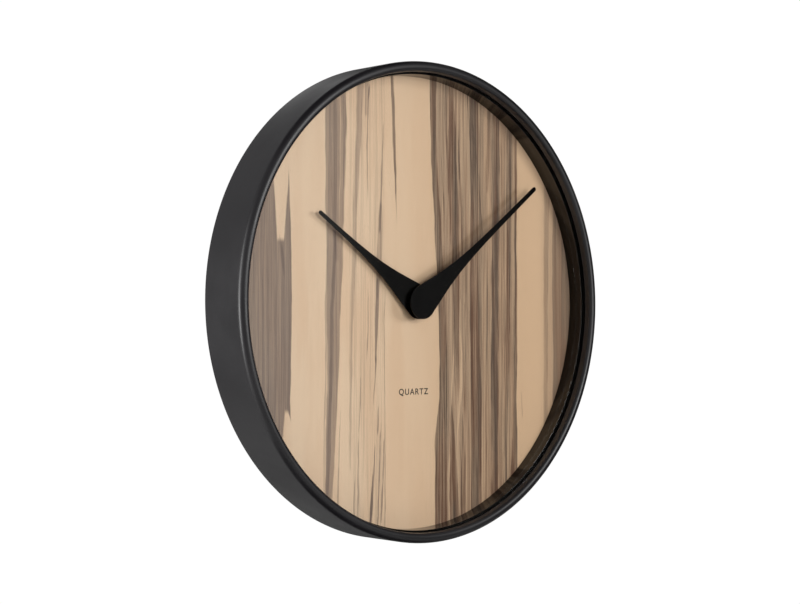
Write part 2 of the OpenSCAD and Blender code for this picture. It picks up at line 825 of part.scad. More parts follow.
module third_wheel() {
  color(c_white) face_front() compound(third_at, pin_r, 0.75, z_third_wheel, z_third_pinion) {
    windowed_wheel(64, m_third, third_wheel_phase, 5, 1.5, 4.2);
    pinion(8, m_centre, third_phase);
  }
}

module third_arbor() {
  color(c_steel) face_front() bar(third_at, pin_r, z_bridge[0] + 0.1, base_in + 1.1);
}

module seconds_wheel() {
  color(c_white) face_front() compound(centre_at, pin_r, 0.7, z_seconds_wheel, z_seconds_pinion) {
    windowed_wheel(60, m_seconds, seconds_wheel_phase, 4, 1.3, 3.3);
    pinion(8, m_third, seconds_phase);
  }
}

module seconds_arbor() {
  color(c_steel) face_front() bar(centre_at, pin_r, z_bridge[0] + 0.1, minute_hand_back - 0.6);
}

module intermediate_wheel() {
  color(c_white) face_front() compound(inter_at, fine_pin_r, 0.75, z_inter_wheel, z_inter_pinion) {
    windowed_wheel(60, m_rotor, inter_wheel_phase, 4, 1.1, 3);
    pinion(10, m_seconds, inter_phase);
  }
}

module intermediate_arbor() {
  color(c_steel) face_front()
    bar(inter_at, fine_pin_r, z_bridge[0] + 0.1, z_mid_plate[0] + z_mid_plate[1] - 0.1);
}

// ---- Rotor ----
module rotor_magnet() {
  color(c_steel) face_front() translate([rotor_at[0], rotor_at[1], 0])
    ring(magnet_r, fine_pin_r, z_magnet[0], z_magnet[0] + z_magnet[1], 48);
}

module rotor_pinion() {
  color(c_white) face_front() translate([rotor_at[0], rotor_at[1], 0])
    slab(z_rotor_pinion[0], z_rotor_pinion[1]) difference() {
      pinion(12, m_rotor, rotor_phase);
      flat_disc(fine_pin_r);
    }
}

module rotor_arbor() {
  color(c_steel) face_front()
    bar(rotor_at, fine_pin_r, z_bridge[0] + 0.1, z_mid_plate[0] + z_mid_plate[1] - 0.1);
}

// ---- Setting knob ----
module setting_knob() {
  color(c_plastic) face_front() translate([knob_at[0], knob_at[1], 0]) {
    slab(knob_back, mb - 0.15 - knob_back) difference() {
      circle(r = knob_r, $fn = 64);
      around(20, knob_r) circle(r = 0.35, $fn = 16);
    }
    bar(centre_at, knob_shaft_r, knob_back + 0.5, z_cannon[0]);
    bar(centre_at, knob_pin_r, z_cannon[0] - 0.5, base_in + 1.1);
  }
}

module knob_pinion() {
  color(c_white) face_front() translate([knob_at[0], knob_at[1], 0])
    slab(z_cannon[0], z_cannon[1]) difference() {
      pinion(12, m_motion, knob_phase);
      flat_disc(knob_pin_r);
    }
}

case_drum();
bezel_ring();
lens_gasket();
lens_glass();
rehaut_ring();
dial_veneer();
dial_board();
dial_screws();
back_cover();
window_battens();
back_cover_screws();
hanger_plate();
hanger_screws();
movement_base();
movement_cover();
mid_plate();
train_bridge();
mounting_bush();
mounting_nut();
mounting_washer();
stator_plate();
coil_core();
coil_bobbin();
coil_winding();
circuit_board();
quartz_crystal();
ic_blob();
contact_positive();
contact_negative();
minute_hand();
minute_collet();
minute_arbor();
cannon_pinion();
centre_wheel();
hour_hand();
hour_collet();
hour_pipe();
hour_wheel();
reversing_wheel();
reversing_arbor();
third_wheel();
third_arbor();
seconds_wheel();
seconds_arbor();
intermediate_wheel();
intermediate_arbor();
rotor_magnet();
rotor_pinion();
rotor_arbor();
setting_knob();
knob_pinion();
battery_cell();
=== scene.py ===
"""Round wall clock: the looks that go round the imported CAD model.

The frame is the CAD's: the origin lies on the hand axis in the wall plane, +Z is up and the
dial faces -Y. Lengths in the tables are millimetres, and MM turns them into metres.
"""

import json
import math
from collections import namedtuple

import bmesh
import bpy
from mathutils import Matrix, Vector


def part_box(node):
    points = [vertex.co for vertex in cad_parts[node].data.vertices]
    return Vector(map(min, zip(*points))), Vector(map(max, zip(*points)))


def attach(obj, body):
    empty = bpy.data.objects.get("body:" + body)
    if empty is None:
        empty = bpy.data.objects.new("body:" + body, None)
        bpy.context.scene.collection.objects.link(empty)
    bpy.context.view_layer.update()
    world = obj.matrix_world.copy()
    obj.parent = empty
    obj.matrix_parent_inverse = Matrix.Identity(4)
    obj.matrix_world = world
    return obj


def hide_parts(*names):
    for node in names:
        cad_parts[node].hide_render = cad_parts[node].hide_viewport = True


MM = 0.001

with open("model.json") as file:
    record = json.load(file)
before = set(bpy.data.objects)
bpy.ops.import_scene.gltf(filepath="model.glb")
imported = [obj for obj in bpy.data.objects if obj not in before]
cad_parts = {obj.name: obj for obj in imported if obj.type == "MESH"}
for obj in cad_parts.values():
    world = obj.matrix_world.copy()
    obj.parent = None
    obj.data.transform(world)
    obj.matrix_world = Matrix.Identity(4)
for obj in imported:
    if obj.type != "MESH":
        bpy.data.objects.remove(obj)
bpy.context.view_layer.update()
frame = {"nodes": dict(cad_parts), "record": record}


# ---- Sizes read from the frame, in millimetres, as heights in front of the wall ----

def front_of(node):
    """Height of a node's front face above the wall."""
    return -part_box(node)[0].y / MM


def back_of(node):
    """Height of a node's back face above the wall."""
    return -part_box(node)[1].y / MM


def radius_of(node):
    """Outer radius of a round node on the hand axis."""
    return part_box(node)[1].x / MM


CASE_R = radius_of("case_drum")
SEAM_H = front_of("case_drum")
CASE_DEPTH = front_of("bezel_ring")
GLASS_R = radius_of("lens_glass")
GLASS_FRONT = front_of("lens_glass")
GLASS_BACK = back_of("lens_glass")
LIP_H = front_of("lens_gasket")
DIAL_FRONT = front_of("dial_veneer")
DIAL_BACK = back_of("dial_veneer")
DIAL_R = radius_of("dial_veneer")
BOARD_BACK = back_of("dial_board")
COVER_BACK = back_of("back_cover")

BEAD_OUTER_R = CASE_DEPTH - SEAM_H
BEAD_INNER_R = 3.4
BEAD_IN_R = CASE_R - BEAD_OUTER_R - BEAD_INNER_R
CASE_WALL = 2.5
DRUM_IN_R = CASE_R - CASE_WALL
REHAUT_R = BEAD_IN_R - 1.5
REHAUT_T = 1.4
REHAUT_FLANGE = 1.2


# ---- Mesh code ----

SHARP_ANGLE = math.radians(35)


def fillet(corner, before, after, radius, steps):
    """Points of the arc that rounds one corner of an outline."""
    a, b = (before - corner).normalized(), (after - corner).normalized()
    half = a.angle(b) / 2
    reach = radius / math.tan(half)
    centre = corner + (a + b).normalized() * radius / math.sin(half)
    start, end = corner + a * reach, corner + b * reach
    turn = (start - centre).angle_signed(end - centre)
    points = []
    for i in range(steps + 1):
        arm = start - centre
        arm.rotate(Matrix.Rotation(-turn * i / steps, 2))
        points.append(centre + arm)
    return points


def rounded(corners, steps=10):
    """Outline with its corners rounded: each corner is (radius on the lathe, height, fillet radius)."""
    points = []
    for i, (r, h, radius) in enumerate(corners):
        here = Vector((r, h))
        if radius == 0:
            points.append(here)
            continue
        before = Vector(corners[i - 1][:2])
        after = Vector(corners[(i + 1) % len(corners)][:2])
        count = steps if radius > 1 else 4
        points.extend(fillet(here, before, after, radius, count))
    return points


def finish_mesh(name, bm):
    """Object made from a bmesh, smooth but for its sharp edges."""
    bmesh.ops.recalc_face_normals(bm, faces=bm.faces)
    mesh = bpy.data.meshes.new(name)
    bm.to_mesh(mesh)
    bm.free()
    mesh.shade_smooth()
    mesh.set_sharp_from_angle(angle=SHARP_ANGLE)
    made = bpy.data.objects.new(name, mesh)
    bpy.context.scene.collection.objects.link(made)
    return made


def even_normals(piece):
    """Keeps broad flat faces flat where they run into a small rounding."""
    weighted = piece.modifiers.new("even_normals", "WEIGHTED_NORMAL")
    weighted.keep_sharp = True
    weighted.weight = 100


def lathe(name, corners, segments=360, steps=12):
    """Solid of revolution about the hand axis. Corners are (radius, height, fillet) in mm."""
    outline = rounded(corners, steps)
    bm = bmesh.new()
    rings = []
    for point in outline:
        if point.x < 1e-6:
            rings.append([bm.verts.new((0, -point.y * MM, 0))] * segments)
            continue
        ring = []
        for i in range(segments):
            a = 2 * math.pi * i / segments
            x, z = point.x * MM * math.sin(a), point.x * MM * math.cos(a)
            ring.append(bm.verts.new((x, -point.y * MM, z)))
        rings.append(ring)
    for ring, following in zip(rings, rings[1:] + rings[:1]):
        if ring[0] is ring[1] and following[0] is following[1]:
            continue
        for i in range(segments):
            j = (i + 1) % segments
            loop = [ring[i], ring[j], following[j], following[i]]
            corners_used = list(dict.fromkeys(loop))
            bm.faces.new(corners_used)
    made = finish_mesh(name, bm)
    even_normals(made)
    return made


def plate(name, outline, low, high, bevel, bore_r=0.0):
    """Flat plate between two heights with rounded edges and a hole of the bore's radius on the
    axis. The outline is (x, z) points in mm."""
    bm = bmesh.new()
    loops = [outline]
    if bore_r:
        sides = 64
        turns = [math.tau * i / sides for i in range(sides)]
        loops.append([(bore_r * math.cos(turn), bore_r * math.sin(turn)) for turn in turns])
    edges = []
    for loop in loops:
        verts = [bm.verts.new((x * MM, -low * MM, z * MM)) for x, z in loop]
        edges += [bm.edges.new((verts[i - 1], verts[i])) for i in range(len(verts))]
    filled = bmesh.ops.triangle_fill(bm, edges=edges, use_beauty=True)
    base = [face for face in filled["geom"] if isinstance(face, bmesh.types.BMFace)]
    raised = bmesh.ops.extrude_face_region(bm, geom=base)
    moved = [v for v in raised["geom"] if isinstance(v, bmesh.types.BMVert)]
    bmesh.ops.translate(bm, verts=moved, vec=(0, -(high - low) * MM, 0))
    made = finish_mesh(name, bm)
    soften(made, bevel)
    return made


def soften(piece, width, segments=3):
    """Rounds a piece's sharp edges. Width in mm."""
    weld = piece.modifiers.new("weld", "WELD")
    weld.merge_threshold = 0.002 * MM
    bevel = piece.modifiers.new("rounded_edges", "BEVEL")
    bevel.width = width * MM
    bevel.segments = segments
    bevel.limit_method = "ANGLE"
    bevel.angle_limit = SHARP_ANGLE
    bevel.harden_normals = True
    bevel.use_clamp_overlap = True


def place(piece, body, slot, material, *nodes):
    """Paints a new piece, sets its body and lets it stand for CAD nodes. The slot is not used."""
    piece.data.materials.clear()
    piece.data.materials.append(material)
    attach(piece, body)
    if nodes:
        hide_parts(*nodes)
    return piece


# ---- Node helpers ----

def node(tree, kind, inputs=None, **settings):
    """Adds a shader node. Inputs are numbers, colours or sockets, by name or place."""
    made = tree.nodes.new(kind)
    for key, value in settings.items():
        setattr(made, key, value)
    for key, value in (inputs or {}).items():
        if isinstance(value, bpy.types.NodeSocket):
            tree.links.new(value, made.inputs[key])
        else:
            made.inputs[key].default_value = value
    return made


def maths(tree, operation, *values, clamp=False):
    """Output of a Math node."""
    inputs = dict(enumerate(values))
    return node(tree, "ShaderNodeMath", inputs, operation=operation, use_clamp=clamp).outputs[0]


def smooth(tree, value, low, high, to_low=0.0, to_high=1.0):
    """Smooth step of a value between low and high."""
    inputs = {0: value, 1: low, 2: high, 3: to_low, 4: to_high}
    return node(tree, "ShaderNodeMapRange", inputs, interpolation_type="SMOOTHSTEP").outputs[0]


def mixed(tree, factor, a, b):
    """Mix of two colours."""
    made = node(tree, "ShaderNodeMix", data_type="RGBA")
    for socket, value in ((made.inputs[0], factor), (made.inputs[6], a), (made.inputs[7], b)):
        if isinstance(value, bpy.types.NodeSocket):
            tree.links.new(value, socket)
        else:
            socket.default_value = value
    return made.outputs[2]


def stretched(tree, scale):
    """Object coordinates in millimetres, multiplied by a scale along each axis."""
    place_of = node(tree, "ShaderNodeTexCoord").outputs["Object"]
    factors = tuple(s / MM for s in scale)
    return node(tree, "ShaderNodeVectorMath", {0: place_of, 1: factors}, operation="MULTIPLY").outputs[0]


def noise(tree, scale, detail=2.0, roughness=0.5):
    """Noise whose grains are 1/scale mm long on each axis, from 0 to 1."""
    inputs = {"Vector": stretched(tree, scale), "Scale": 1.0, "Detail": detail, "Roughness": roughness}
    return node(tree, "ShaderNodeTexNoise", inputs).outputs["Fac"]


def srgb(r, g, b):
    """Colour given as sRGB values from 0 to 255."""
    def linear(v):
        v /= 255
        return v / 12.92 if v <= 0.04045 else ((v + 0.055) / 1.055) ** 2.4
    return (linear(r), linear(g), linear(b), 1.0)


def shaded(colour, share):
    """Colour made darker or paler by a share of itself."""
    return tuple(min(1.0, share * c) for c in colour[:3]) + (1.0,)


def new_material(name):
    """An empty material, its tree and its output node."""
    made = bpy.data.materials.new(name)
    made.use_nodes = True
    tree = made.node_tree
    tree.nodes.clear()
    output = node(tree, "ShaderNodeOutputMaterial")
    return made, tree, output


def surface(tree, output, constants, linked):
    """Principled shader with constant and linked inputs, joined to the output."""
    shader = node(tree, "ShaderNodeBsdfPrincipled", {**constants, **linked})
    tree.links.new(shader.outputs[0], output.inputs["Surface"])


def bumped(tree, height, depth_mm):
    """Normal of a bump of the given depth in mm."""
    inputs = {"Height": height, "Strength": 1.0, "Distance": depth_mm * MM}
    return node(tree, "ShaderNodeBump", inputs).outputs[0]


def worn_edges(tree, amount):
    """Mask of the outer edges, where handling polishes a surface."""
    pointiness = node(tree, "ShaderNodeNewGeometry").outputs["Pointiness"]
    edge = smooth(tree, pointiness, 0.52, 0.60)
    patchy = noise(tree, (0.25, 0.25, 0.25), 3.0)
    return maths(tree, "MULTIPLY", maths(tree, "MULTIPLY", edge, patchy), amount)


def moulded(name, dark, light, rough, grain_mm, grain_depth, wear=0.3, specular=0.5):
    """Moulded or painted plastic: fine grain, cloudy gloss and paler edges."""
    made, tree, output = new_material(name)
    cloud = noise(tree, (0.02, 0.02, 0.02), 3.0)
    fine = 1 / grain_mm
    grain = noise(tree, (fine, fine, fine), 3.0, 0.6)
    tone = mixed(tree, smooth(tree, cloud, 0.3, 0.7), dark, light)
    tone = mixed(tree, worn_edges(tree, wear), tone, shaded(light, 2.2))
    gloss = smooth(tree, maths(tree, "ADD", cloud, maths(tree, "MULTIPLY", grain, 0.4)), 0.4, 1.0,
                   rough - 0.05, rough + 0.07)
    surface(tree, output, {"Specular IOR Level": specular},
            {"Base Color": tone, "Roughness": gloss, "Normal": bumped(tree, grain, grain_depth)})
    return made


def metal(name, dark, light, rough, brush):
    """Metal with a brushed or rolled grain: brush is the grain's scale along X, Y and Z."""
    made, tree, output = new_material(name)
    grain = noise(tree, brush, 4.0, 0.6)
    cloud = noise(tree, (0.08, 0.08, 0.08), 3.0)
    tone = mixed(tree, smooth(tree, maths(tree, "ADD", grain, cloud), 0.6, 1.4), dark, light)
    tone = mixed(tree, worn_edges(tree, 0.6), tone, (0.9, 0.9, 0.88, 1))
    gloss = smooth(tree, grain, 0.2, 0.8, rough - 0.08, rough + 0.10)
    surface(tree, output, {"Metallic": 1.0},
            {"Base Color": tone, "Roughness": gloss, "Normal": bumped(tree, grain, 0.01)})
    return made


def fibreboard(name, dark, light, fibre_mm, depth, rough=0.75):
    """Pressed fibreboard: tangled fibres, darker specks and a dry surface."""
    made, tree, output = new_material(name)
    fibre = 1 / fibre_mm
    tangle = noise(tree, (fibre, fibre, fibre * 0.5), 5.0, 0.7)
    speck = noise(tree, (2.2, 2.2, 2.2), 2.0, 0.4)
    cloud = noise(tree, (0.015, 0.015, 0.015), 3.0)
    tone = mixed(tree, smooth(tree, tangle, 0.35, 0.65), dark, light)
    tone = mixed(tree, smooth(tree, speck, 0.62, 0.72, 0.0, 0.5), tone, shaded(dark, 0.35))
    tone = mixed(tree, smooth(tree, cloud, 0.3, 0.7, 0.0, 0.25), tone, shaded(light, 0.7))
    gloss = smooth(tree, tangle, 0.3, 0.7, rough - 0.08, rough + 0.1)
    surface(tree, output, {"Specular IOR Level": 0.3},
            {"Base Color": tone, "Roughness": gloss, "Normal": bumped(tree, tangle, depth)})
    return made


# ---- The veneer ----

# One streak of dark heartwood; one of them is instead a painted shadow of the rim. path and half are the
# place of its middle and its half width at the low end, the middle and the high end of its span; edge is the
# width of its soft edge.
# A negative strength lets the pale wood through again.
Streak = namedtuple("Streak", "path half span strength edge")

LEFT_PANEL = [
    Streak((-160, -160, -160), (27.5, 27.6, 27.5), (-90, 50), 0.62, 1.0),
    Streak((-137.3, -136.2, -135.6), (4.9, 2.6, 0.0), (36, 110), 0.62, 1.2),
    Streak((-165, -168.3, -173), (20, 20, 20), (36, 112), 0.62, 1.5),
    Streak((-133, -133.8, -136), (0.0, 1.5, 3.6), (-99, -78), 0.62, 1.0),
    Streak((-163, -160, -157), (20, 20, 20), (-140, -78), 0.62, 1.5),
]
LEFT_SHADES = [
    Streak((-140, -142, -146), (0.0, 2.6, 0.0), (12, 56), 0.30, 2.0),
    Streak((-155, -155.5, -154), (1.0, 2.2, 0.0), (-130, -40), 0.25, 2.0),
    Streak((-146, -145, -146), (0.0, 2.0, 0.0), (-60, 20), 0.15, 2.0),
]
LEFT_BANDS = [
    Streak((-95.8, -89.5, -88), (3.2, 8.5, 12.4), (-195, 195), 0.48, 1.6),
    Streak((-96.5, -93, -88), (1.6, 2.8, 2.0), (-195, 60), 0.36, 1.8),
    Streak((-87, -89, -92), (3.0, 5.0, 5.0), (30, 195), 0.22, 2.5),
    Streak((-79.5, -78.5, -78.5), (1.2, 2.4, 2.4), (60, 195), 0.20, 1.0),
    Streak((-83, -83, -82.6), (0.5, 1.1, 1.1), (40, 195), -0.45, 0.9),
    Streak((-99, -98.6, -97), (0.9, 1.0, 0.8), (-170, 45), 0.28, 0.7),
    Streak((-72, -69, -60), (1.4, 3.0, 4.5), (-140, 195), 0.30, 2.2),
    Streak((-55.8, -55, -54.5), (1.8, 2.4, 2.8), (150, 195), 0.30, 1.5),
    Streak((-53, -54.6, -51.8), (0.3, 1.0, 0.8), (78, 180), 0.50, 0.7),
    Streak((-55, -54, -53.5), (0.4, 0.9, 0.5), (-52, 12), 0.38, 0.7),
    Streak((-41, -38.2, -36.6), (1.6, 1.3, 0.8), (55, 150), 0.38, 0.9),
    Streak((-44, -41, -39), (2.2, 3.6, 1.8), (0, 84), 0.26, 1.8),
    Streak((-45.2, -43.9, -43.2), (1.2, 2.5, 1.6), (-52, 22), 0.46, 1.2),
    Streak((-47.3, -45.6, -44.6), (0.3, 0.9, 1.1), (-88, -44), 0.44, 0.7),
    Streak((-43, -42, -41.6), (0.5, 1.1, 0.4), (-112, -84), 0.44, 0.7),
    Streak((-43.8, -41.2, -38.8), (0.8, 1.0, 0.5), (-195, -98), 0.46, 0.7),
    Streak((-51.6, -48.4, -45), (1.7, 1.4, 0.5), (-195, -116), 0.62, 0.9),
    Streak((-39.5, -37.6, -35.5), (0.8, 1.2, 0.6), (-185, -112), 0.50, 0.8),
    Streak((-64, -61.6, -61), (0.5, 0.9, 0.5), (-108, -60), 0.40, 0.7),
    Streak((-66.5, -63.2, -64), (1.4, 1.4, 0.5), (-195, -110), 0.34, 1.2),
    Streak((-68.8, -68.2, -66.5), (1.4, 1.1, 0.3), (-195, -140), 0.42, 0.9),
    Streak((-85.2, -84, -82), (0.8, 1.0, 0.4), (-175, -86), 0.40, 0.8),
    Streak((-35.2, -34.9, -34.9), (0.9, 0.8, 0.5), (-195, 10), 0.34, 0.6),
    Streak((-22, -24.6, -27.8), (0.2, 1.6, 1.9), (62, 195), 0.62, 0.9),
]
HEARTWOOD = [
    Streak((48, 45, 36), (0.8, 5.6, 6.4), (-84, 195), 0.64, 1.4),
    Streak((51.8, 47.8, 41.5), (0.8, 1.1, 0.9), (0, 168), 0.50, 0.7),
    Streak((53.6, 52.2, 48), (0.9, 1.5, 0.4), (28, 150), 0.52, 0.8),
    Streak((31.5, 31.8, 27.6), (0.8, 1.2, 0.4), (20, 142), 0.40, 0.8),
    Streak((34.5, 32.5, 30), (0.8, 0.6, 0.2), (18, 75), 0.40, 0.6),
    Streak((69.5, 70, 68), (6.4, 7.6, 6.2), (-195, 195), 0.60, 1.8),
    Streak((68.5, 64.5, 59.2), (1.0, 1.1, 1.0), (50, 195), 0.48, 0.8),
    Streak((78, 73.4, 66.5), (1.0, 1.2, 0.8), (58, 158), 0.55, 0.8),
    Streak((84.6, 86, 87), (1.6, 2.4, 3.0), (95, 195), 0.45, 1.2),
    Streak((93, 93.6, 94.8), (4.8, 5.0, 5.6), (-195, 195), 0.66, 1.2),
    Streak((96.8, 97.4, 99.4), (0.8, 0.9, 0.9), (-110, 195), 0.34, 0.7),
    Streak((89.8, 89.2, 90.2), (0.9, 0.9, 0.7), (-195, 140), 0.30, 0.7),
    Streak((81.6, 83.6, 84.6), (0.7, 0.9, 0.5), (-195, 66), 0.34, 0.7),
    Streak((82, 81.4, 80.6), (0.8, 1.0, 0.3), (-150, -50), 0.32, 0.7),
    Streak((104.4, 103.4, 102.4), (0.6, 0.8, 0.3), (-195, 25), 0.34, 0.6),
    Streak((105.5, 105.2, 104.6), (0.6, 0.6, 0.3), (-90, -10), 0.24, 0.5),
    Streak((101.4, 101.5, 102), (0.5, 0.7, 0.7), (92, 195), 0.34, 0.6),
    Streak((106.5, 106.7, 107), (0.4, 0.6, 0.7), (126, 195), 0.30, 0.6),
    Streak((106.5, 109.6, 112.2), (1.6, 3.2, 3.1), (-165, 195), 0.64, 1.1),
    Streak((117.4, 119.2, 118.6), (3.6, 1.9, 1.9), (-195, 195), 0.58, 0.9),
    Streak((113.6, 116, 118), (3.4, 3.0, 0.5), (-195, -86), 0.46, 1.2),
    Streak((45.5, 43, 41.2), (6.6, 4.6, 0.6), (-195, -84), 0.56, 1.1),
    Streak((46.3, 44.6, 44.2), (0.6, 1.0, 0.9), (-90, -8), 0.46, 0.7),
    Streak((56, 57, 56.5), (0.9, 1.1, 0.9), (-108, 2), 0.44, 0.8),
    Streak((54.5, 54.6, 54), (3.4, 3.0, 0.5), (-195, -92), 0.46, 1.0),
    Streak((53.4, 52.6, 50), (0.9, 1.0, 0.3), (-195, -116), 0.40, 0.7),
    Streak((48.4, 49.3, 48.4), (0.4, 1.2, 0.3), (-90, -42), 0.40, 0.8),
    Streak((38.3, 38.1, 38.6), (1.0, 1.0, 0.3), (-195, -98), -0.50, 0.7),
    Streak((41, 42.1, 42.6), (0.4, 1.2, 0.3), (-86, -42), -0.60, 0.9),
    Streak((47.3, 52, 51), (0.4, 2.0, 0.6), (-118, -20), -0.60, 1.2),
    Streak((36.2, 36.8, 36.5), (1.0, 1.6, 0.6), (138, 186), -0.35, 1.2),
    Streak((91.4, 91.2, 91), (0.4, 0.7, 0.3), (120, 195), -0.30, 0.6),
]
RIGHT_BANDS_AND_RIM_SHADOW = [
    Streak((158.4, 158.6, 160.4), (3.6, 3.6, 5.4), (-130, 130), 0.28, 1.8),
    Streak((181, 179, 178), (14.4, 12.0, 10.6), (-130, 100), 0.46, 1.8),
    # Painted shadow of the rim: a broad soft darkening of the veneer towards its right edge
    Streak((192, 192, 192), (46, 46, 46), (-160, 150), 0.30, 26.0),
    Streak((167.6, 167.6, 167.8), (0.7, 1.1, 0.8), (-30, 66), 0.28, 0.9),
    Streak((179.5, 180.5, 181), (2.0, 3.0, 2.0), (-60, 60), 0.22, 2.0),
    Streak((128.2, 127.8, 127.4), (0.4, 0.9, 0.3), (-104, -76), 0.26, 0.7),
]
HEARTWOOD_RIGHT = 121.4


def quadratic(values, span):
    """Coefficients of the parabola through three values at the two ends and middle of a span,
    in steps of 100 mm."""
    low, high = span[0] / 100, span[1] / 100
    mid = (low + high) / 2
    bend = 2 * (values[0] - 2 * values[1] + values[2]) / (high - low) ** 2
    slope = (values[2] - values[0]) / (high - low) - 2 * bend * mid
    start = values[1] - slope * mid - bend * mid * mid
    return start, slope, bend


def streak_group():
    """Node group that gives one streak's darkness at a point of the dial."""
    tree = bpy.data.node_groups.new("streak", "ShaderNodeTree")
    names = ["X", "Z", "C0", "C1", "C2", "H0", "H1", "H2", "Low", "High", "Edge", "Strength"]
    for name in names:
        tree.interface.new_socket(name, in_out="INPUT", socket_type="NodeSocketFloat")
    tree.interface.new_socket("Dark", in_out="OUTPUT", socket_type="NodeSocketFloat")
    given = tree.nodes.new("NodeGroupInput").outputs
    x, z = given["X"], given["Z"]
    steps = maths(tree, "DIVIDE", z, 100.0)

    def parabola(start, slope, bend):
        line = maths(tree, "MULTIPLY_ADD", given[bend], steps, given[slope])
        return maths(tree, "MULTIPLY_ADD", line, steps, given[start])

    middle = parabola("C0", "C1", "C2")
    half = parabola("H0", "H1", "H2")
    off = maths(tree, "ABSOLUTE", maths(tree, "SUBTRACT", x, middle))
    inside = smooth(tree, maths(tree, "SUBTRACT", half, off), 0.0, given["Edge"])
    fade = 5.0
    above = smooth(tree, maths(tree, "SUBTRACT", z, given["Low"]), 0.0, fade)
    below = smooth(tree, maths(tree, "SUBTRACT", given["High"], z), 0.0, fade)
    value = maths(tree, "MULTIPLY", maths(tree, "MULTIPLY", inside, above), below)
    value = maths(tree, "MULTIPLY", value, given["Strength"])
    tree.links.new(value, tree.nodes.new("NodeGroupOutput").inputs[0])
    return tree


def streaks_of(tree, group, x, z, streaks, dark, widest=False):
    """Adds streaks to a darkness from 0 to 1. With widest, those that overlap don't add up."""
    for streak in streaks:
        made = node(tree, "ShaderNodeGroup", node_tree=group)
        tree.links.new(x, made.inputs["X"])
        # A trace of the darkness so far makes the shader work streak by streak, in little memory
        tree.links.new(maths(tree, "MULTIPLY_ADD", dark, 1e-5, z), made.inputs["Z"])
        for letter, values in (("C", streak.path), ("H", streak.half)):
            for i, value in enumerate(quadratic(values, streak.span)):
                made.inputs[f"{letter}{i}"].default_value = value
        made.inputs["Low"].default_value, made.inputs["High"].default_value = streak.span
        made.inputs["Edge"].default_value = streak.edge
        made.inputs["Strength"].default_value = abs(streak.strength)
        clear = maths(tree, "SUBTRACT", 1.0, made.outputs[0])
        if widest:
            dark = maths(tree, "MAXIMUM", dark, made.outputs[0])
        elif streak.strength < 0:
            dark = maths(tree, "MULTIPLY", dark, clear)
        else:
            pale = maths(tree, "MULTIPLY", maths(tree, "SUBTRACT", 1.0, dark), clear)
            dark = maths(tree, "SUBTRACT", 1.0, pale)
    return dark


